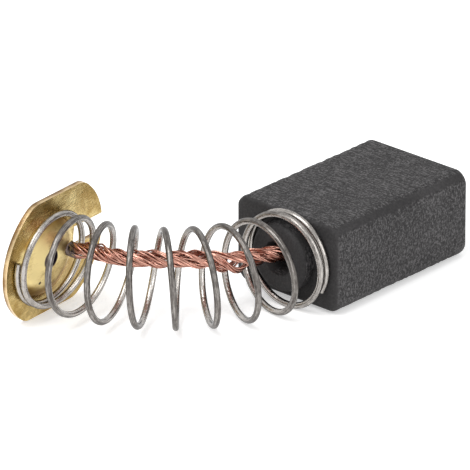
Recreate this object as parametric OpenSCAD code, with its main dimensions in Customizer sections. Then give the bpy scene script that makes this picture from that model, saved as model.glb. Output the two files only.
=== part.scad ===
// Carbon brush of a small commutator motor: a pressed carbon block with a round boss,
// a bowed compression spring, a twisted copper shunt and a stamped brass contact cap.
// Millimetres, +Z up. The origin is the middle of the contact face, which looks along +X.
// The spring leaves the other end of the block along -X and bows round towards +Y.

/* [Carbon block] */
// Length from the contact face to the spring end
block_length = 11.2; // [9:0.1:16]
// Width
block_width = 7.8; // [7:0.1:12]
// Height
block_height = 5.3; // [4.8:0.1:8]
// Chamfer along the four long edges
edge_chamfer = 0.5; // [0.2:0.05:0.8]
// Broken edge round both end faces
end_chamfer = 0.12; // [0.05:0.01:0.2]
// Diameter of the boss that the spring sits on
boss_diameter = 4.1; // [3.4:0.1:4.1]
// Height of the boss
boss_height = 0.8; // [0.6:0.05:1]
// Radius of the boss's rim
boss_rim = 0.3; // [0.1:0.05:0.4]
// Diameter of the countersink at the mouth of the shunt hole
mouth_diameter = 2.1; // [1.6:0.1:2.4]
// Depth of the countersink
mouth_depth = 1.1; // [0.6:0.1:1.6]
// Diameter of the shunt hole
hole_diameter = 1.04; // [1.04:0.02:1.2]
// Depth of the shunt hole from the boss's face
hole_depth = 4; // [3.9:0.1:6]

/* [Spring] */
// Diameter of the spring wire
wire_diameter = 0.38; // [0.3:0.01:0.38]
// Mean diameter of the coils
coil_diameter = 5.52; // [5.5:0.02:5.6]
// Number of open turns between the two closed ones
open_turns = 8; // [5:1:9]
// Radius of the bow that the spring's axis follows
bow_radius = 9.3; // [9:0.1:12]
// Angle that the bow turns through
bow_angle = 85; // [60:5:90]
// Straight run of the axis at the boss
boss_lead = 0.4; // [0.3:0.05:1]
// Straight run of the axis at the cap
cap_lead = 1.5; // [1.2:0.05:2]
// How far the spring sits towards -Y on its boss
seat_side = 0.4; // [0:0.05:0.4]
// How far the spring's axis rises from the boss to the cap
bow_rise = 0.2; // [0:0.05:0.5]
// How far the coils and the cap lean back towards the block at their top, in degrees
cap_lean = 6; // [0:1:6]
// How far the middle coils lie back towards the block on the outside of the bow
coil_skew = 0.1; // [0:0.02:0.14]

/* [Contact cap] */
// Diameter of the cap's rim
cap_diameter = 8.6; // [8.2:0.1:9]
// Distance between the two flats
flat_distance = 7.4; // [7:0.1:7.8]
// Radius where a flat meets the rim
corner_radius = 1.3; // [0.6:0.1:1.4]
// How far the rim sits off the middle of the raised centre, towards the slot
rim_shift = 0.85; // [0:0.05:0.9]
// Thickness of the brass sheet
sheet = 0.3; // [0.2:0.05:0.4]
// Radius of the raised centre at its foot
crown_radius = 2.4; // [2:0.05:2.4]
// Height of the raised centre's shoulder
crown_step = 0.33; // [0.2:0.01:0.4]
// Further rise to the middle of the raised centre
crown_rise = 0.12; // [0.05:0.01:0.2]
// Diameter of the hole in the raised centre
cap_hole = 1.1; // [0.8:0.1:1.2]
// Width of the slot in the rim
slot_width = 1.3; // [0.8:0.1:1.6]
// Height of the slot's middle above the middle of the raised centre
slot_lift = 0.35; // [0:0.05:0.6]
// Distance from the middle of the raised centre to the slot's closed end
slot_start = 2.5; // [2.4:0.1:3]

/* [Shunt] */
// Number of bundles twisted into the rope
bundle_count = 4; // [3:1:4]
// Diameter of one bundle of fine wires
bundle_diameter = 0.38; // [0.3:0.01:0.38]
// Distance from the middle of the rope to the middle of a bundle
lay_radius = 0.285; // [0.28:0.005:0.29]
// Length of one turn of the twist
lay_length = 4.6; // [3:0.1:7]

/* [Hidden] */
$fn = 96;

// Gap between pieces that only touch
touch_gap = 0.01;
// Closed turns lie this far apart, wire to wire
closed_pitch = wire_diameter + 0.03;
// Part of a turn over which a closed coil opens to the full pitch
opening_turn = 0.5;
// Where the wire's two ends lie, in turns
first_turn = -30 / 360;
last_turn = open_turns + 2 + 12 / 360;
// Faces round the wire, and along one turn
wire_sides = 8;
turn_steps = 28;

bow_length = bow_radius * bow_angle * PI / 180;
axis_length = boss_lead + bow_length + cap_lead;
spring_start = wire_diameter / 2 + touch_gap;
spring_end = axis_length - wire_diameter / 2 - touch_gap;
closed_run = closed_pitch * (last_turn - first_turn);
// Pitch of the open turns, over that of the closed ones
open_rate = (spring_end - spring_start - closed_run) / (open_turns - opening_turn);

// Places along the shunt: in its hole, by how far they lie inside the block,
hole_knots = [2.8, 1.5, 0.3];
// and in the spring, by share of the way along its axis, distance inward from it and height over it
bow_knots = [
    [0.05, 0.5, 0.25], [0.11, 0.75, 0.3], [0.17, 0.9, 0.3], [0.24, 1.1, 0.3], [0.31, 1.35, 0.4],
    [0.38, 1.6, 0.4], [0.48, 1.8, 0.35], [0.58, 1.85, 0.35], [0.64, 1.75, 0.3], [0.71, 1.7, 0.3],
    [0.79, 1.7, 0.3], [0.86, 1.75, 0.3], [0.955, 1.6, 0.1]
];
route_steps = 5;
bundle_sides = 6;
// The fused tip of the shunt, lying on the raised centre beside the hole
tip_place = [1.65, -0.1];
tip_radius = 0.45;
tip_height = 0.45;

up = [0, 0, 1];

// Unit vector along v
function unit(v) = v / norm(v);

// Length along a ramp that opens linearly over one opening_turn
function ramp(t) =
    t <= 0 ? 0 : t < opening_turn ? t * t / (2 * opening_turn) : t - opening_turn / 2;

// Distance along the spring's axis after a number of turns
function axis_travel(t) =
    spring_start + closed_pitch * (t - first_turn)
    + open_rate * (ramp(t - 1) - ramp(t - 1 - open_turns + opening_turn));

// Angle that the axis has turned through at a distance along it
function bow_turn(s) = min(max(s - boss_lead, 0), bow_length) / bow_radius * 180 / PI;

// Point on the spring's axis
function bow_point(s) =
    let (a = bow_turn(s), run = max(s - boss_lead - bow_length, 0))
    [-block_length - min(s, boss_lead) - bow_radius * sin(a) - run * cos(a),
     -seat_side + bow_radius * (1 - cos(a)) + run * sin(a),
     bow_rise * s / axis_length];

// Outward direction from the axis at a given turn of the coil
function coil_direction(t) =
    let (s = axis_travel(t), a = bow_turn(s), lean = cap_lean * sin(90 * s / axis_length))
    cos(360 * t) * [-sin(a), -cos(a), 0]
    + sin(360 * t) * [sin(lean) * cos(a), -sin(lean) * sin(a), cos(lean)];

// Point on the middle of the spring wire
function wire_point(t) =
    let (s = axis_travel(t), a = bow_turn(s), back = coil_skew * sin(180 * s / axis_length) * cos(360 * t))
    bow_point(s) + coil_diameter / 2 * coil_direction(t) + back * [cos(a), -sin(a), 0];

// Point on a smooth curve through four knots, between the middle two
function curve_point(p, f) =
    0.5 * ((2 * p[1]) + (p[2] - p[0]) * f + (2 * p[0] - 5 * p[1] + 4 * p[2] - p[3]) * f * f
    + (3 * p[1] - p[0] - 3 * p[2] + p[3]) * f * f * f);

// Middle line of the shunt, from the floor of its hole to the cap
shunt_route = concat(
    [for (d = hole_knots) [d - block_length, 0, 0]],
    [for (k = bow_knots)
        let (s = k[0] * axis_length, a = bow_turn(s))
        bow_point(s) + k[1] * [sin(a), cos(a), 0] + k[2] * up]
);

// Point on the shunt's middle line, where u counts its knots
function route_point(u) =
    let (last = len(shunt_route) - 1, i = min(floor(u), last - 1))
    curve_point([for (k = [-1:2]) shunt_route[min(max(i + k, 0), last)]], u - i);

// Directions of a line of points, taken across each point
function directions(line) =
    [for (i = [0:len(line) - 1])
        unit(line[min(i + 1, len(line) - 1)] - line[max(i - 1, 0)])];

// Distance along a line of points up to each of them
function distances(line, i = 0, run = 0) =
    i == len(line) - 1 ? [run] : concat([run], distances(line, i + 1, run + norm(line[i + 1] - line[i])));

// Round tube along a line, with one outward direction for each of its points
module tube(line, outward, radius, sides) {
    ahead = directions(line);
    rings = len(line);
    points = [for (i = [0:rings - 1])
        let (across = unit(cross(ahead[i], outward[i])), out = cross(across, ahead[i]))
        for (k = [0:sides - 1])
            line[i] + radius * (cos(360 * k / sides) * out + sin(360 * k / sides) * across)];
    walls = [for (i = [0:rings - 2], k = [0:sides - 1])
        let (a = i * sides + k, b = i * sides + (k + 1) % sides)
        each [[a, a + sides, b], [b, a + sides, b + sides]]];
    first_end = [for (k = [0:sides - 1]) k];
    last_end = [for (k = [0:sides - 1]) rings * sides - 1 - k];
    polyhedron(points, concat(walls, [first_end, last_end]));
}

// Rectangle with its four corners cut off at 45 degrees
module cut_rectangle(size, cut) {
    x = size[0] / 2;
    y = size[1] / 2;
    polygon([
        [x - cut, -y], [x, cut - y], [x, y - cut], [x - cut, y],
        [cut - x, y], [-x, y - cut], [-x, cut - y], [cut - x, -y]
    ]);
}

// Pressed block, chamfered along its four long edges
module block_body() {
    translate([-block_length / 2, 0, 0])
        intersection() {
            rotate([90, 0, 90])
                linear_extrude(block_length, center = true)
                    cut_rectangle([block_width, block_height], edge_chamfer);
            linear_extrude(block_height, center = true)
                cut_rectangle([block_length, block_width], end_chamfer);
            rotate([90, 0, 0])
                linear_extrude(block_width, center = true)
                    cut_rectangle([block_length, block_height], end_chamfer);
        }
}

// Boss with a rounded rim, standing on z = 0
module boss() {
    radius = boss_diameter / 2;
    root = 0.5;
    rim_arc = [for (a = [0:15:90])
        [radius - boss_rim * (1 - cos(a)), boss_height - boss_rim * (1 - sin(a))]];
    rotate_extrude()
        polygon(concat([[0, -root], [radius, -root]], rim_arc, [[0, boss_height]]));
}

// Countersunk blind hole, entered from z = 0 and going down
module shunt_hole() {
    drill_tip = hole_diameter / 2 / tan(59);
    over = 0.5;
    rotate_extrude()
        polygon([
            [0, over], [mouth_diameter / 2, over], [mouth_diameter / 2, 0],
            [hole_diameter / 2, -mouth_depth], [hole_diameter / 2, -hole_depth],
            [0, -hole_depth - drill_tip]
        ]);
}

module carbon_block() {
    color("#4a4a4c")
        difference() {
            union() {
                block_body();
                translate([-block_length, 0, 0]) rotate([0, -90, 0]) boss();
            }
            translate([-block_length - boss_height, 0, 0]) rotate([0, -90, 0]) shunt_hole();
        }
}

module spring() {
    steps = round((last_turn - first_turn) * turn_steps);
    turns = [for (i = [0:steps]) first_turn + (last_turn - first_turn) * i / steps];
    color("#a9a8a4")
        tube([for (t = turns) wire_point(t)], [for (t = turns) coil_direction(t)],
            wire_diameter / 2, wire_sides);
}

// One bundle of fine wires, lying on its turn of the twist
module bundle(turn) {
    last = (len(shunt_route) - 1) * route_steps;
    middle = [for (i = [0:last]) route_point(i / route_steps)];
    ahead = directions(middle);
    run = distances(middle);
    side = [for (i = [0:last]) unit(cross(up, ahead[i]))];
    outward = [for (i = [0:last])
        let (a = 360 * (run[i] / lay_length + turn))
        cos(a) * side[i] + sin(a) * cross(ahead[i], side[i])];
    tube([for (i = [0:last]) middle[i] + lay_radius * outward[i]], outward,
        bundle_diameter / 2, bundle_sides);
}

// Puts what stands on the cap's spring side in its place
module on_cap() {
    translate(bow_point(axis_length))
        rotate([0, 0, 90 - bow_angle])
            rotate([90 + cap_lean, 0, 0])
                children();
}

// Fused end of the rope, a low button with its foot on the raised centre
module fused_tip() {
    foot = crown_height(norm(tip_place) - tip_radius) + touch_gap;
    on_cap()
        translate([tip_place[0], tip_place[1], foot])
            rotate_extrude($fn = 32)
                polygon(concat([[0, 0]],
                    [for (a = [0:15:90]) [tip_radius * cos(a), tip_height * sin(a)]]));
}

module shunt() {
    color("#b0644a") {
        for (k = [0:bundle_count - 1]) bundle(k / bundle_count);
        fused_tip();
    }
}

// Points along an arc of the rim's outline
function arc(middle, radius, from, to, steps) =
    [for (i = [0:steps]) let (a = from + (to - from) * i / steps) middle + radius * [cos(a), sin(a)]];

// Outline of the rim: a circle with two flats and rounded corners
module rim_outline() {
    rim = cap_diameter / 2;
    corner_y = flat_distance / 2 - corner_radius;
    corner_x = sqrt(pow(rim - corner_radius, 2) - pow(corner_y, 2));
    turn = atan2(corner_y, corner_x);
    polygon([for (half = [0, 180])
        let (way = half == 0 ? 1 : -1)
        each concat(
            arc([0, 0], rim, half - turn, half + turn, 24),
            arc([way * corner_x, way * corner_y], corner_radius, half + turn, half + 90, 6),
            arc([-way * corner_x, way * corner_y], corner_radius, half + 90, half + 180 - turn, 6)
        )]);
}

// Height of the raised centre at a distance from its middle
function crown_height(r) =
    let (f = min(max((r / crown_radius - 0.7) / 0.3, 0), 1))
    crown_step * (1 + cos(180 * f)) / 2 + crown_rise * (1 - pow(r / crown_radius, 2));

// Sheet with its raised centre pressed up, before it is trimmed
module pressed_sheet() {
    slices = 20;
    radii = [for (i = [0:slices]) crown_radius * i / slices];
    rotate_extrude()
        polygon(concat(
            [for (r = radii) [r, crown_height(r)]],
            [[cap_diameter, 0], [cap_diameter, -sheet]],
            [for (i = [0:slices]) [radii[slices - i], crown_height(radii[slices - i]) - sheet]]
        ));
}

// The cap lying down, its spring side up and its rim's upper face on z = 0
module stamped_cap() {
    over = 1;
    difference() {
        intersection() {
            pressed_sheet();
            translate([rim_shift, 0, -over]) linear_extrude(2 * over) rim_outline();
        }
        translate([0, 0, -over]) cylinder(d = cap_hole, h = 2 * over);
        translate([slot_start, slot_lift - slot_width / 2, -over])
            cube([cap_diameter, slot_width, 2 * over]);
    }
}

module contact_cap() {
    color("#c9a55a") on_cap() stamped_cap();
}

carbon_block();
spring();
shunt();
contact_cap();
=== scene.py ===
# Carbon brush of a small commutator motor: carbon block, bowed spring, copper shunt, brass cap.
# The frame is the part's own: the contact face's middle is the origin and looks along +X.
import math
import random

import bmesh
import bpy
from mathutils import Matrix, Vector


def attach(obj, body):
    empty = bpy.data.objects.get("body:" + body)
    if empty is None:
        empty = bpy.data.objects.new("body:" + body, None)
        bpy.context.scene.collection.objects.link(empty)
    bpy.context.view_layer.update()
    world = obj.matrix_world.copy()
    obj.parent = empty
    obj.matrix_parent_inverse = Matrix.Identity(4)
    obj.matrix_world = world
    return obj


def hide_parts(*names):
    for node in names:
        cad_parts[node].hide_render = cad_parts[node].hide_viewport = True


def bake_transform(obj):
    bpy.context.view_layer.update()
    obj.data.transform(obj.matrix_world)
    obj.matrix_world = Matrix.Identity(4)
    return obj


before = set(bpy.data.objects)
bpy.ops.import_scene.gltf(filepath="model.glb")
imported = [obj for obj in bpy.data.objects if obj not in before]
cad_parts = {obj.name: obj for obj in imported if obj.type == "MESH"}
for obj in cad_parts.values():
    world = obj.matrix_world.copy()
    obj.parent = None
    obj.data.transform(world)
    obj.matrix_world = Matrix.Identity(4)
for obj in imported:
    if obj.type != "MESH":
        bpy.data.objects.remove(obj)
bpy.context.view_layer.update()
MM = 0.001


# ---- Stage: a pale sheet of paper under the part, a white surround and soft lamps. ----
# The part lies on the block's contact-end corner, the first coil and the cap's lower flat, so the
# paper leans a little against the block. One lens far off keeps the part's edges nearly parallel.


class Value:
    """One output of a shader tree, with arithmetic on it."""

    def __init__(self, tree, socket):
        self.tree, self.socket = tree, socket

    def node(self, kind, inputs, output=0, **settings):
        """Adds a node with these settings and inputs, and returns one of its outputs."""
        made = self.tree.nodes.new("ShaderNode" + kind)
        for name, setting in settings.items():
            setattr(made, name, setting)
        for name, value in inputs.items():
            if isinstance(value, Value):
                self.tree.links.new(value.socket, made.inputs[name])
            else:
                made.inputs[name].default_value = value
        return Value(self.tree, made.outputs[output])

    def math(self, operation, *others):
        """Math node with this value first."""
        return self.node("Math", dict(enumerate((self, *others))), operation=operation)

    def __add__(self, other):
        return self.math("ADD", other)

    def __sub__(self, other):
        return self.math("SUBTRACT", other)

    def __rsub__(self, other):
        return self.node("Math", {0: other, 1: self}, operation="SUBTRACT")

    def __mul__(self, other):
        return self.math("MULTIPLY", other)

    __radd__, __rmul__ = __add__, __mul__

    def ramp(self, low, high, at_low=0.0, at_high=1.0):
        """Smooth step from at_low to at_high as the value goes from low to high."""
        ends = {"Value": self, "From Min": low, "From Max": high, "To Min": at_low, "To Max": at_high}
        return self.node("MapRange", ends, interpolation_type="SMOOTHSTEP")

    def stretched(self, x, y, z):
        """The vector with each of its axes scaled."""
        return self.node("VectorMath", {0: self, 1: (x, y, z)}, operation="MULTIPLY")

    def noise(self, scale, detail, roughness):
        """Noise from 0 to 1 at this place."""
        ends = {"Vector": self, "Scale": scale, "Detail": detail, "Roughness": roughness}
        return self.node("TexNoise", ends)

    def mix(self, low, high):
        """Colour from low to high as the value goes from 0 to 1."""
        return self.node("Mix", {0: self, 6: low, 7: high}, output=2, data_type="RGBA")

    def to(self, node, name):
        """Joins the value to an input of a node."""
        self.tree.links.new(self.socket, node.inputs[name])


def seen_rays(tree):
    """1 for rays from the eye or mirrored by the part, and 0 for the light that falls on it."""
    rays = tree.nodes.new("ShaderNodeLightPath")
    seen = Value(tree, rays.outputs["Is Camera Ray"])
    for kind in ("Is Glossy Ray", "Is Transmission Ray"):
        seen = seen.math("MAXIMUM", Value(tree, rays.outputs[kind]))
    return seen


floor_height, floor_rise = -2.803, Vector((0.0124, -0.0443, 0))
bm = bmesh.new()
bmesh.ops.create_grid(bm, x_segments=1, y_segments=1, size=3)
for v in bm.verts:
    v.co.z = floor_height * MM + floor_rise.dot(v.co)
mesh = bpy.data.meshes.new("paper")
bm.to_mesh(mesh)
bm.free()
paper = bpy.data.objects.new("paper", mesh)
bpy.context.scene.collection.objects.link(paper)
paper_white = bpy.data.materials.new("paper_white")
paper_white.use_nodes = True
tree = paper_white.node_tree
shader = tree.nodes["Principled BSDF"]
shader.inputs["Roughness"].default_value = 0.9
shader.inputs["Base Color"].default_value = (0.9, 0.9, 0.9, 1)
shader.inputs["Specular IOR Level"].default_value = 0.1
shader.inputs["Emission Color"].default_value = (1, 1, 1, 1)
(0.42 * seen_rays(tree)).to(shader, "Emission Strength")
mesh.materials.append(paper_white)

world = bpy.data.worlds.new("surround")
bpy.context.scene.world = world
world.use_nodes = True
background = world.node_tree.nodes["Background"]
background.inputs["Color"].default_value = (1, 1, 1, 1)
(0.78 + 0.22 * seen_rays(world.node_tree)).to(background, "Strength")


def lamp(name, place, size, power):
    """A square soft lamp at a place in millimetres, aimed at the middle of the part."""
    data = bpy.data.lights.new(name, "AREA")
    data.size, data.energy = size * MM, power
    made = bpy.data.objects.new(name, data)
    made.location = Vector(place) * MM
    aim = Vector((-12, 2, 0)) * MM - made.location
    made.rotation_euler = aim.to_track_quat("-Z", "Y").to_euler()
    bpy.context.scene.collection.objects.link(made)


lamp("key", (-120, 20, 190), 130, 0.22)
lamp("front", (-60, -200, 90), 110, 0.10)

camera = bpy.data.objects.new("camera", bpy.data.cameras.new("camera"))
bpy.context.scene.collection.objects.link(camera)
bpy.context.scene.camera = camera
azimuth, elevation = math.radians(-47.7), math.radians(24.1)
back = Vector((
    math.sin(azimuth) * math.cos(elevation), -math.cos(azimuth) * math.cos(elevation), math.sin(elevation)
))
turn = back.to_track_quat("Z", "Y")
camera_distance = 400
view_middle = Vector((-11.2, 0, 0)) - turn @ Vector((2.957, -1.082, 0))
camera.location = (view_middle + camera_distance * back) * MM
camera.rotation_euler = turn.to_euler()
camera.data.lens = 540.8
camera.data.clip_start = 0.01
bpy.context.scene.view_settings.view_transform = "Standard"


# ---- Carbon block: pressed carbon and graphite powder, baked and ground on its four long sides. ----
# The boss that centres the spring is pressed with it. The ground sides keep fine grinding marks, the
# pressed end is smoother and darker, and the long edges have crumbled a very little.


def material(name, **constants):
    """A Principled material with these constants. Returns it, its shader and Object coordinates in mm."""
    made = bpy.data.materials.new(name)
    made.use_nodes = True
    shader = made.node_tree.nodes["Principled BSDF"]
    for key, value in constants.items():
        shader.inputs[key.replace("_", " ")].default_value = value
    coordinates = made.node_tree.nodes.new("ShaderNodeTexCoord")
    place = Value(made.node_tree, coordinates.outputs["Object"])
    place = place.node("VectorMath", {0: place, "Scale": 1 / MM}, operation="SCALE")
    return made, shader, place


def bump(height, shader, distance):
    """Joins a height to the shader as a bump. A height of 1 stands for the distance, in millimetres."""
    height.node("Bump", {"Height": height, "Distance": distance * MM, "Strength": 1.0}).to(shader, "Normal")


def piece(bm, name, material, smooth_angle=40):
    """Makes an object from a bmesh in millimetres, smooth but for edges sharper than an angle."""
    bmesh.ops.scale(bm, vec=(MM, MM, MM), verts=bm.verts)
    bmesh.ops.recalc_face_normals(bm, faces=bm.faces)
    mesh = bpy.data.meshes.new(name)
    bm.to_mesh(mesh)
    bm.free()
    mesh.materials.append(material)
    mesh.shade_smooth()
    mesh.set_sharp_from_angle(angle=math.radians(smooth_angle))
    made = bpy.data.objects.new(name, mesh)
    bpy.context.scene.collection.objects.link(made)
    return made


def lathe(bm, profile, steps=96):
    """Spins a profile of (radius, height) points round the Z axis into a closed skin."""
    line = [bm.verts.new((r, 0, z)) for r, z in profile]
    edges = [bm.edges.new(pair) for pair in zip(line, line[1:])]
    bmesh.ops.spin(
        bm, geom=line + edges, cent=(0, 0, 0), axis=(0, 0, 1), angle=2 * math.pi, steps=steps, use_merge=True
    )
    bmesh.ops.remove_doubles(bm, verts=bm.verts, dist=1e-4)


def bevel(bm, edges, width, segments):
    """Cuts or rounds edges by a width."""
    bmesh.ops.bevel(
        bm, geom=edges, offset=width, segments=segments, profile=0.5, material=-1, affect="EDGES",
        offset_type="OFFSET"
    )


def carve(body, *tools):
    """Adds or cuts away each (name, tool, operation) in turn, then removes the tools."""
    for name, tool, operation in tools:
        carved = body.modifiers.new(name, "BOOLEAN")
        carved.object, carved.operation, carved.solver = tool, operation, "EXACT"
    bpy.context.view_layer.update()
    made = bpy.data.meshes.new_from_object(body.evaluated_get(bpy.context.evaluated_depsgraph_get()))
    body.modifiers.clear()
    body.data = made
    for _, tool, _ in tools:
        bpy.data.objects.remove(tool)
    return made


block_length, block_width, block_height = 11.2, 7.8, 5.3
chamfer, rounding, contact_rounding = 0.5, 0.27, 0.34
crumb_depth, crumb_rings, crumb_spacing, crumb_start = 0.035, 50, 0.2, 0.7
boss_radius, boss_height, boss_rim = 2.05, 0.8, 0.3
hole_radius, hole_depth, hole_floor, mouth_radius, mouth_depth = 0.52, 4, 4.3, 1.05, 1.1
carbon, shader, place = material("carbon", Specular_IOR_Level=0.22)
axes = place.node("SeparateXYZ", {0: place})
x, y, z = (Value(place.tree, axes.socket.node.outputs[name]) for name in "XYZ")
geometry = place.tree.nodes.new("ShaderNodeNewGeometry")
facing = place.node("SeparateXYZ", {0: Value(place.tree, geometry.outputs["Normal"])})
faces_side, faces_top = (
    Value(place.tree, facing.socket.node.outputs[name]).math("ABSOLUTE").ramp(0.8, 0.95) for name in "YZ"
)
ground = faces_side + faces_top
grain = place.noise(7.5, 3, 0.7) - 0.5
marks = faces_top * (place.stretched(12, 1.5, 9).noise(1.0, 3, 0.65) - 0.5)
marks += faces_side * (place.stretched(11, 8, 3.0).noise(1.0, 3, 0.65) - 0.5)
speck = place.noise(11, 2, 0.5).ramp(0.60, 0.70) * ground
cloud = place.noise(0.45, 2, 0.5) - 0.5
at_ends = (x + block_length / 2).math("ABSOLUTE").ramp(5.36, 5.56)
worn = at_ends * y.math("ABSOLUTE").ramp(3.72, 3.88) * (grain * 2 + 0.6)
# Painted shade: the mouth and bore of the shunt hole in the boss are darkened in the colour.
painted_hole_shade = (y * y + z * z).math("SQRT").ramp(0.9, 1.3, 1.0, 0.0)
painted_hole_shade *= x.ramp(-11.9, -11.2) * x.ramp(-8, -6, 1.0, 0.0)
shade = 0.22 + 0.08 * faces_side + 0.03 * faces_top + grain * (0.6 + 2.3 * ground) + marks * 2.3
shade += speck * 0.6 + cloud * 0.3 + 0.5 * worn - painted_hole_shade * 0.4
shade.ramp(0.0, 1.0).mix((0.019, 0.018, 0.0185, 1), (0.125, 0.120, 0.122, 1)).to(shader, "Base Color")
(0.62 - 0.16 * speck).to(shader, "Roughness")
bump(grain * (0.2 + 0.8 * ground) + marks * 0.8, shader, 0.05)

bm = bmesh.new()
bmesh.ops.create_cube(bm, size=1)
bmesh.ops.scale(bm, vec=(block_length, block_width, block_height), verts=bm.verts)
bmesh.ops.translate(bm, vec=(-block_length / 2, 0, 0), verts=bm.verts)
bevel(bm, [e for e in bm.edges if abs(e.verts[0].co.x - e.verts[1].co.x) > 1], chamfer, 1)
bevel(bm, [e for e in bm.edges if all(v.co.x > -0.01 for v in e.verts)], contact_rounding, 5)
bevel(bm, [e for e in bm.edges if len(e.link_faces) == 2 and e.calc_face_angle() > 0.5], rounding, 5)
for i in range(crumb_rings):
    bmesh.ops.bisect_plane(
        bm, geom=bm.verts[:] + bm.edges[:] + bm.faces[:], dist=1e-4,
        plane_co=(-crumb_start - crumb_spacing * i, 0, 0), plane_no=(1, 0, 0)
    )
random.seed(2)
crumbled = {}
for v in bm.verts:
    if -block_length + 0.4 < v.co.x < -0.6:
        corner_ring = round(v.co.x, 2), v.co.y > 0, v.co.z > 0
        depth = crumbled.setdefault(corner_ring, crumb_depth * random.random() ** 2)
        v.co.y -= math.copysign(depth, v.co.y)
        v.co.z -= math.copysign(depth, v.co.z)
block = piece(bm, "carbon_body", carbon)

# The boss and the hole are spun on the Z axis, then turned to look along -X as the pressed end does.
towards_end = Matrix.Rotation(-math.pi / 2, 4, "Y")
bm = bmesh.new()
root, flat_radius, side_height = -0.5, boss_radius - boss_rim, boss_height - boss_rim
boss_profile = [(0, root), (boss_radius, root), (boss_radius, side_height)]
boss_profile += [
    (flat_radius + boss_rim * math.cos(a), side_height + boss_rim * math.sin(a))
    for a in (0.26, 0.52, 0.79, 1.05, 1.31)
]
lathe(bm, boss_profile + [(flat_radius, boss_height), (0, boss_height)])
boss_place = Matrix.Translation((-block_length, 0, 0)) @ towards_end
bmesh.ops.transform(bm, matrix=boss_place, verts=bm.verts)
boss = piece(bm, "boss", carbon)

bm = bmesh.new()
lathe(bm, [
    (0, 0.5), (1.12, 0.5), (1.12, 0.05), (mouth_radius, 0),
    (hole_radius, -mouth_depth), (hole_radius, -hole_depth), (0, -hole_floor),
])
hole_place = Matrix.Translation((-block_length - boss_height, 0, 0)) @ towards_end
bmesh.ops.transform(bm, matrix=hole_place, verts=bm.verts)
hole = piece(bm, "shunt_hole", carbon)

made = carve(block, ("boss", boss, "UNION"), ("hole", hole, "DIFFERENCE"))
made.shade_smooth()
made.set_sharp_from_angle(angle=math.radians(35))
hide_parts("carbon_block")
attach(block, "brush")


# ---- Spring: hard-drawn steel wire, coiled and left dull, its ends cut square. ----
# Ten turns, the first and last closed. It bows nearly a quarter turn from the boss to the cap, and
# its coils lean back more and more towards the cap.
wire_diameter, coil_radius, open_turns = 0.38, 2.76, 8
boss_lead, bow_radius, bow_angle, cap_lead = 0.4, 9.3, math.radians(85), 1.5
seat_side, bow_rise, cap_lean, coil_skew = 0.4, 0.2, math.radians(6), 0.1
first_turn, last_turn, opening = -30 / 360, open_turns + 2 + 12 / 360, 0.5
closed_pitch, seat_gap = wire_diameter + 0.03, 0.01
bow_length = bow_radius * bow_angle
axis_length = boss_lead + bow_length + cap_lead
free_length = axis_length - wire_diameter - 2 * seat_gap - closed_pitch * (last_turn - first_turn)
open_rate = free_length / (open_turns - opening)


def axis_travel(t):
    """Distance along the spring's axis after t turns."""

    def opened_after(turns):
        if turns <= 0:
            return 0
        return turns * turns / (2 * opening) if turns < opening else turns - opening / 2

    opened = opened_after(t - 1) - opened_after(t - 1 - open_turns + opening)
    return wire_diameter / 2 + seat_gap + closed_pitch * (t - first_turn) + open_rate * opened


def axis_frame(s):
    """Point, forward and outward directions and the leaning upward one, at a distance along the axis."""
    a = min(max(s - boss_lead, 0), bow_length) / bow_radius
    run = max(s - boss_lead - bow_length, 0)
    point = Vector((
        -block_length - min(s, boss_lead) - bow_radius * math.sin(a) - run * math.cos(a),
        -seat_side + bow_radius * (1 - math.cos(a)) + run * math.sin(a),
        bow_rise * s / axis_length,
    ))
    ahead = Vector((-math.cos(a), math.sin(a), 0))
    outward = Vector((-math.sin(a), -math.cos(a), 0))
    lean = cap_lean * math.sin(math.pi / 2 * s / axis_length)
    return point, ahead, outward, Vector((0, 0, 1)) * math.cos(lean) - ahead * math.sin(lean)


def sweep(bm, line, outward, runs, radius, sides, shift=0):
    """Extrudes a round section along a line, and keeps the way round and the run in "lay"."""
    lay = bm.verts.layers.float_vector.get("lay") or bm.verts.layers.float_vector.new("lay")
    ring = bmesh.ops.create_circle(bm, cap_ends=True, segments=sides, radius=1)["verts"]
    face = ring[0].link_faces[0]
    for i, point in enumerate(line):
        ahead = (line[min(i + 1, len(line) - 1)] - line[max(i - 1, 0)]).normalized()
        across = ahead.cross(outward[i]).normalized()
        out = across.cross(ahead)
        if i:
            grown = bmesh.ops.extrude_face_region(bm, geom=[face])["geom"]
            face = next(g for g in grown if isinstance(g, bmesh.types.BMFace))
        for k, vert in enumerate(face.verts):
            c, s = math.cos(2 * math.pi * k / sides), math.sin(2 * math.pi * k / sides)
            vert.co = point + radius * (c * out + s * across)
            vert[lay] = (c + shift, s, runs[i])


steel, shader, place = material("spring_steel", Metallic=1.0)
lay = place.node("Attribute", {}, output="Vector", attribute_name="lay")
parts = lay.node("SeparateXYZ", {0: lay})
outward, run = (Value(place.tree, parts.socket.node.outputs[name]) for name in "XZ")
# Painted shade and reflection: the wire's outward side is darker than its inside, most in the middle coils,
# and the wire darkens towards its outline as seen.
middle_coils = run.ramp(12, 32) * run.ramp(135, 158, 1.0, 0.0)
painted_outer_shade = outward.ramp(-0.75, 0.5) * (0.45 + 0.55 * middle_coils)
# Drawing streaks along the wire: partly real drawing marks, and partly painted glints made stronger than the
# marks alone.
drawn = lay.stretched(2.6, 2.6, 0.35).noise(2.0, 4, 0.6) - 0.5
blotch = lay.stretched(1.1, 1.1, 2.2).noise(1.5, 3, 0.6) - 0.5
painted_edge_shade = place.node("LayerWeight", {"Blend": 0.5}, output="Facing").ramp(0.45, 0.95)
shade = 0.92 - 0.73 * painted_outer_shade + drawn * 2.0 + blotch * 1.0 - painted_edge_shade * (1.0 - 0.5 * painted_outer_shade)
shade.ramp(-0.1, 1.1).mix((0.085, 0.076, 0.070, 1), (0.58, 0.55, 0.52, 1)).to(shader, "Base Color")
(0.2 + 0.14 * painted_outer_shade + blotch * 0.15).to(shader, "Roughness")
bump(drawn + blotch * 0.4, shader, 0.008)

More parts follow.
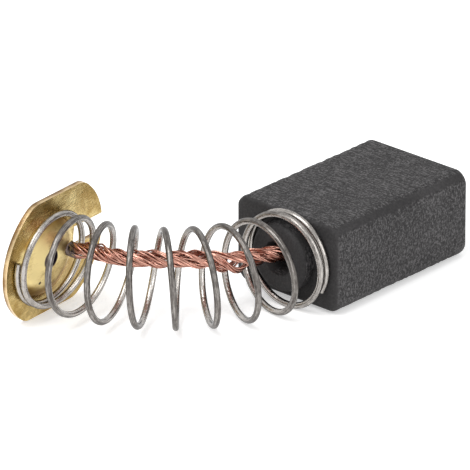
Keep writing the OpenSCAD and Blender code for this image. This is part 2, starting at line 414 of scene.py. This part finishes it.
coil_steps, wire_sides = 720, 16
bm = bmesh.new()
turns = [first_turn + (last_turn - first_turn) * i / coil_steps for i in range(coil_steps + 1)]
line, outward = [], []
for t in turns:
    point, ahead, side, upward = axis_frame(axis_travel(t))
    outward.append(math.cos(2 * math.pi * t) * side + math.sin(2 * math.pi * t) * upward)
    skew = coil_skew * math.sin(math.pi * axis_travel(t) / axis_length) * math.cos(2 * math.pi * t)
    line.append(point + coil_radius * outward[-1] - skew * ahead)
runs = [2 * math.pi * coil_radius * t for t in turns]
sweep(bm, line, outward, runs, wire_diameter / 2, wire_sides)
spring = piece(bm, "spring_wire", steel, 60)
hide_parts("spring")
bow_start, bow_end = axis_frame(boss_lead)[0] * MM, axis_frame(boss_lead + bow_length)[0] * MM
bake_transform(spring)


# ---- Contact cap: brass strip, blanked and pressed, with a low raised centre that holds the last coil. ----
# Its two long sides are cut flat, and the slot and the small round hole are punched. The press left
# it bright, and handling has dulled and scratched it. Its colour also holds painted light: a painted
# highlight on the crown, painted reflections of the coils as dark bands at the crown's edges, a flange
# painted darker than the crown, and a thin skin in painted shade that closes the back of the hole.
cap_radius, flat, corner, sheet = 4.3, 3.7, 1.3, 0.3
rim_shift, crown_radius, crown_flat, crown_step, crown_rise = 0.85, 2.4, 0.7, 0.13, 0.32
punch_radius, punch_floor, slot_start, slot_width, slot_middle = 0.55, 0.2, 2.5, 1.3, 0.35
brass, shader, place = material("brass", Metallic=1.0)
sheet_place = place.node("Attribute", {}, output="Vector", attribute_name="sheet_place")
cut = place.node("Attribute", {}, output="Fac", attribute_name="cut")
axes = sheet_place.node("SeparateXYZ", {0: sheet_place})
x, y, z = (Value(place.tree, axes.socket.node.outputs[name]) for name in "XYZ")
tarnish = sheet_place.noise(0.55, 4, 0.6) - 0.5
scuff = sheet_place.stretched(1.2, 5.0, 1.0).noise(2.2, 4, 0.7) - 0.5
scratch_way = x.node("CombineXYZ", {0: (x * 0.8 + y * 0.6) * 14, 1: (y * 0.8 - x * 0.6) * 1.5, 2: 0.0})
on_ear = x.ramp(2.6, 3.6) * y.ramp(0.4, 1.2)
scratch = scratch_way.noise(1.0, 3, 0.6).ramp(0.56, 0.68) * (0.2 + 0.8 * on_ear)
front = cut.ramp(-0.7, -0.3)


def away_from(middle_x, middle_y):
    """Distance on the sheet from a place."""
    dx, dy = x - middle_x, y - middle_y
    return (dx * dx + dy * dy).math("SQRT")


away = away_from(0, 0)
weld_stain = front * away_from(1.35, 0.5).ramp(0.1, 0.8, 1.0, 0.0)
fleck = front * away_from(-0.75, -1.3).ramp(0.07, 0.13, 1.0, 0.0)
# Painted highlight: a bright round spot on the crown.
painted_highlight = front * away_from(-1.15, 1.0).ramp(0.2, 1.2, 0.4, 0.0)
burr = away.ramp(0.55, 0.64, 1.0, 0.0)
at_flats = (y.math("ABSOLUTE") + tarnish).ramp(0.9, 1.5)
# Painted reflection: dark brown bands at the crown's top and bottom edges stand in for the coils mirrored
# there.
painted_coil_reflection = front * away.ramp(1.5, 2.2) * away.ramp(2.4, 2.6, 1.0, 0.0) * at_flats
# The flange is painted darker than the crown as painted shade, and the painted highlight is taken off here.
# Tarnish, scuffs and scratches are real wear.
wear_and_painted_light = 0.42 - 0.16 * front + 0.5 * away.ramp(2.3, 2.7) * front - painted_highlight
wear_and_painted_light += tarnish * 2.2 + scuff * 0.8 + 0.6 * scratch
metal = wear_and_painted_light.ramp(0, 1).mix((0.98, 0.81, 0.39, 1), (0.40, 0.26, 0.07, 1))
metal = (painted_coil_reflection * 0.85).mix(metal, (0.42, 0.23, 0.04, 1))
metal = (weld_stain * (0.6 + tarnish * 1.5)).mix(metal, (0.46, 0.24, 0.09, 1))
metal = burr.mix(metal, (0.12, 0.08, 0.06, 1))
sheared = (z * 5 + tarnish * 4).ramp(-1.5, 0.1).mix((0.22, 0.125, 0.05, 1), (0.74, 0.56, 0.32, 1))
metal = cut.ramp(0.2, 0.8).mix(metal, sheared)
# Painted shade: the hole's wall and its back skin are nearly black.
metal = (cut - 1.0).ramp(0.2, 0.8).mix(metal, (0.075, 0.06, 0.08, 1))
fleck.mix(metal, (0.05, 0.03, 0.01, 1)).to(shader, "Base Color")
rough = 0.24 + away.ramp(2.0, 2.6, 0.1, 0.0) + tarnish * 0.12 + scuff * 0.1
(rough + scratch * 0.2 + weld_stain * 0.1).to(shader, "Roughness")
bump(scuff * 0.4 + tarnish * 1.2 - scratch * 0.5, shader, 0.03)


def crown_height(r):
    """Height of the pressed centre above the rim, at a distance from its middle."""
    f = min(max((r / crown_radius - crown_flat) / (1 - crown_flat), 0), 1)
    return crown_step * (1 + math.cos(math.pi * f)) / 2 + crown_rise * (1 - (r / crown_radius) ** 2)


crown_rings, strip_reach = 32, 7
bm = bmesh.new()
radii = [crown_radius * i / crown_rings for i in range(crown_rings + 1)]
skin = [(r, crown_height(r)) for r in radii] + [(strip_reach, 0), (strip_reach, -sheet)]
skin += [(r, crown_height(r) - sheet) for r in reversed(radii)]
lathe(bm, skin, 128)
cap = piece(bm, "cap_sheet", brass)

bm = bmesh.new()
corner_y = flat - corner
corner_x = math.sqrt((cap_radius - corner) ** 2 - corner_y**2)
corner_start = math.atan2(corner_y, corner_x)
rim = []
for half in (0, 1):
    way = -1 if half else 1
    for middle_x, middle_y, radius, start, end, steps in (
        (0, 0, cap_radius, -corner_start, corner_start, 32),
        (corner_x, corner_y, corner, corner_start, math.pi / 2, 8),
        (-corner_x, corner_y, corner, math.pi / 2, math.pi - corner_start, 8),
    ):
        for i in range(steps):
            a = start + (end - start) * i / steps
            rim_x, rim_y = middle_x + radius * math.cos(a), middle_y + radius * math.sin(a)
            rim.append(bm.verts.new((way * rim_x + rim_shift, way * rim_y, -1)))
outline = bm.faces.new(rim)
grown = bmesh.ops.extrude_face_region(bm, geom=[outline])["geom"]
bmesh.ops.translate(bm, vec=(0, 0, 2), verts=[g for g in grown if isinstance(g, bmesh.types.BMVert)])
blank = piece(bm, "blank", brass)

tool_depth, slot_reach = 3, 6
bm = bmesh.new()
bmesh.ops.create_cone(
    bm, cap_ends=True, segments=64, radius1=punch_radius, radius2=punch_radius, depth=tool_depth
)
bmesh.ops.translate(bm, vec=(0, 0, punch_floor + tool_depth / 2), verts=bm.verts)
punch = piece(bm, "punch", brass)
bm = bmesh.new()
bmesh.ops.create_cube(bm, size=1)
bmesh.ops.scale(bm, vec=(slot_reach, slot_width, tool_depth), verts=bm.verts)
bmesh.ops.translate(bm, vec=(slot_start + slot_reach / 2, slot_middle, 0), verts=bm.verts)
notch = piece(bm, "notch", brass)

cuts = ("outline", blank, "INTERSECT"), ("hole", punch, "DIFFERENCE"), ("slot", notch, "DIFFERENCE")
made = carve(cap, *cuts)
cap_place = (
    Matrix.Translation(axis_frame(axis_length)[0])
    @ Matrix.Rotation(math.pi / 2 - bow_angle, 4, "Z")
    @ Matrix.Rotation(math.pi / 2 + cap_lean, 4, "X")
)
places = made.attributes.new("sheet_place", "FLOAT_VECTOR", "POINT")
for vert, kept in zip(made.vertices, places.data):
    kept.vector = vert.co / MM
# -1 is the back, 0 the front, 1 the sheared edges and 2 the inside of the hole.
# The thin skin left at the back of the hole and the hole's wall get value 2, which is coloured as painted
# shade.
hole_reach, hole_bottom = (punch_radius + 0.01) * MM, (punch_floor - 0.03) * MM
sides = made.attributes.new("cut", "FLOAT", "FACE")
for face, kept in zip(made.polygons, sides.data):
    if face.center.xy.length < hole_reach and face.center.z > hole_bottom:
        kept.value = 2
    elif abs(face.normal.z) < 0.5:
        kept.value = 1
    else:
        kept.value = 0 if face.normal.z > 0 else -1
made.transform(Matrix.Scale(MM, 4) @ cap_place @ Matrix.Scale(1 / MM, 4))
made.shade_smooth()
made.set_sharp_from_angle(angle=math.radians(35))
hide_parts("contact_cap")
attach(cap, "cap")


# ---- Shunt: fine bare copper wires, thirty-two of them here, in four loosely twisted bundles. ----
# It comes out of the blind hole in the boss and runs taut inside the bow of the spring. Its fused
# tip is welded or soldered to the raised centre of the cap, beside the hole.
copper, shader, place = material("copper", Metallic=1.0)
lay = place.node("Attribute", {}, output="Vector", attribute_name="lay")
run = lay.node("SeparateXYZ", {0: lay}, output="Z")
oxide = lay.stretched(0.35, 0.5, 0.55).noise(1.5, 4, 0.6)
drawn = lay.stretched(0.4, 1.2, 1.6).noise(1.5, 3, 0.6)
metal = (oxide * 0.8 + drawn * 0.5).ramp(0.45, 0.85).mix((0.84, 0.47, 0.37, 1), (0.20, 0.066, 0.045, 1))
run.ramp(15.45, 15.65).mix(metal, (0.16, 0.125, 0.115, 1)).to(shader, "Base Color")
(oxide * 0.22 + 0.16).to(shader, "Roughness")
bump(drawn, shader, 0.008)

# The route starts in the hole. Then come the share of the spring's axis that has been passed, and
# how far inside the axis and how far above it the shunt lies there.
route = [Vector((depth - block_length, 0, 0)) for depth in (2.8, 1.5, 0.3)]
for share, inward, over in (
    (0.05, 0.5, 0.25), (0.11, 0.75, 0.3), (0.17, 0.9, 0.3), (0.24, 1.1, 0.3), (0.31, 1.35, 0.4),
    (0.38, 1.6, 0.4), (0.48, 1.8, 0.35), (0.58, 1.85, 0.35), (0.64, 1.75, 0.3), (0.71, 1.7, 0.3),
    (0.79, 1.7, 0.3), (0.86, 1.75, 0.3), (0.955, 1.6, 0.1),
):
    point, ahead, _, _ = axis_frame(share * axis_length)
    route.append(point + inward * Vector((ahead.y, -ahead.x, 0)) + Vector((0, 0, over)))
lay_radius, lay_length, bundle_radius, strand_radius = 0.285, 4.6, 0.15, 0.06
bundles, bundle_strands, strand_sides = 4, 8, 6
sag_depth, sag_run, sag_spread = 0.3, 6.4, 0.9
strays = (0.06, 1.7), (0.03, 3.3)
tip_radius, tip_height, tip_gap, tip_middle, tip_seat = 0.45, 0.22, 0.01, 1.8, 1.35
random.seed(4)


def along(knots, u):
    """Point on a smooth curve through the knots, where u counts them."""
    i = min(int(u), len(knots) - 2)
    p = [knots[min(max(i + k, 0), len(knots) - 1)] for k in (-1, 0, 1, 2)]
    f = u - i
    return 0.5 * (
        2 * p[1]
        + (p[2] - p[0]) * f
        + (2 * p[0] - 5 * p[1] + 4 * p[2] - p[3]) * f * f
        + (3 * p[1] - p[0] - 3 * p[2] + p[3]) * f**3
    )


knot_steps = 8
steps = knot_steps * (len(route) - 1)
middle = [along(route, i / knot_steps) for i in range(steps + 1)]
runs = [0.0]
for p, q in zip(middle, middle[1:]):
    runs.append(runs[-1] + (q - p).length)
bm = bmesh.new()
for bundle in range(bundles):
    for strand in range(bundle_strands):
        # This draw goes unused. It stays, because the later ones follow from it.
        random.uniform(0, 1)
        own_turn = strand / (bundle_strands - 1) if strand else 0
        reach = bundle_radius if strand else 0
        wander = [random.uniform(0, 2 * math.pi) for _ in range(2)]
        own_length = lay_length * random.uniform(0.7, 1.0)
        line, outward = [], []
        for i, point in enumerate(middle):
            ahead = (middle[min(i + 1, steps)] - middle[max(i - 1, 0)]).normalized()
            side = Vector((0, 0, 1)).cross(ahead).normalized()
            over = ahead.cross(side)
            a = 2 * math.pi * (runs[i] / lay_length + bundle / bundles)
            b = 2 * math.pi * (runs[i] / own_length + own_turn)
            loose = 0
            for (size, rate), phase in zip(strays, wander):
                loose += size * math.sin(runs[i] * rate + phase)
            out = math.cos(a) * side + math.sin(a) * over
            away = math.cos(b) * side + math.sin(b) * over
            sag = sag_depth * math.exp(-(((runs[i] - sag_run) / sag_spread) ** 2)) * max(0, -math.sin(a))
            line.append(point + lay_radius * out + (reach + loose) * away + sag * Vector((0, 0, -1)))
            outward.append(away)
        one = bmesh.new()
        pattern_shift = 7.0 * (bundle_strands * bundle + strand)
        sweep(one, line, outward, runs, strand_radius, strand_sides, pattern_shift)
        part = bpy.data.meshes.new("strand")
        one.to_mesh(part)
        one.free()
        bm.from_mesh(part)
        bpy.data.meshes.remove(part)

tip = bmesh.new()
dome = [(tip_radius * math.cos(a), tip_height * math.sin(a)) for a in (0, 0.26, 0.52, 0.79, 1.05, 1.31)]
lathe(tip, [(0, 0), *dome, (0, tip_height)], 24)
lay = tip.verts.layers.float_vector.new("lay")
for v in tip.verts:
    v[lay] = (v.co.x, v.co.y, 99)
foot = Matrix.Translation((tip_middle, 0.0, crown_height(tip_seat) + tip_gap))
bmesh.ops.transform(tip, matrix=cap_place @ foot, verts=tip.verts)
part = bpy.data.meshes.new("tip")
tip.to_mesh(part)
tip.free()
bm.from_mesh(part)
bpy.data.meshes.remove(part)
shunt = piece(bm, "shunt_strands", copper, 60)
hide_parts("shunt")
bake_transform(shunt)
